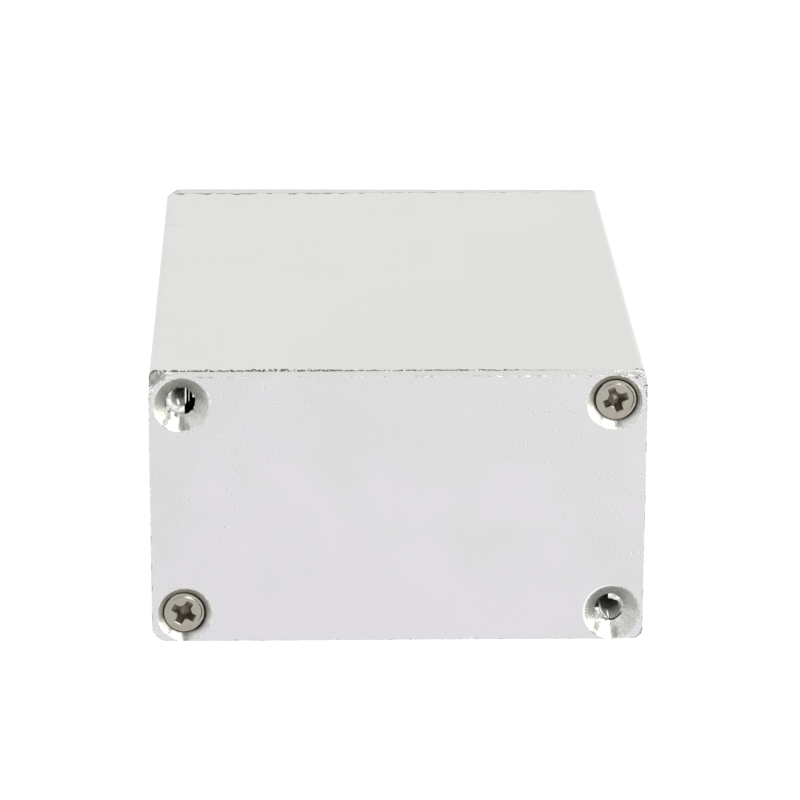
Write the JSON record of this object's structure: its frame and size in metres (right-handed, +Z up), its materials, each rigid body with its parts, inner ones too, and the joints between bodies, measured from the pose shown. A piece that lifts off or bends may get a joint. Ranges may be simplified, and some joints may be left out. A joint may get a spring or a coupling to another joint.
{
  "type": "aluminium enclosure",
  "caption": "Small rectangular enclosure for a circuit board: extruded aluminium tube closed by a flat screwed panel at each end, some front screws missing.",
  "frame": {"origin": "middle of the base, on the surface that the enclosure stands on", "axes": "+Z up, -Y out of the front panel along the extrusion, +X to the right when one faces the front panel"},
  "size_m": [0.066, 0.1, 0.037],
  "materials": {
    "case_aluminium": "matt silver anodised",
    "panel_aluminium": "matt silver anodised, countersinks bare",
    "screw_nickel": "nickel-plated steel"
  },
  "bodies": {
    "root": {"case_extrusion": "case_aluminium", "front_panel": "panel_aluminium", "rear_panel": "panel_aluminium", "front_screws": "screw_nickel", "rear_screws": "screw_nickel"}
  },
  "joints": []
}
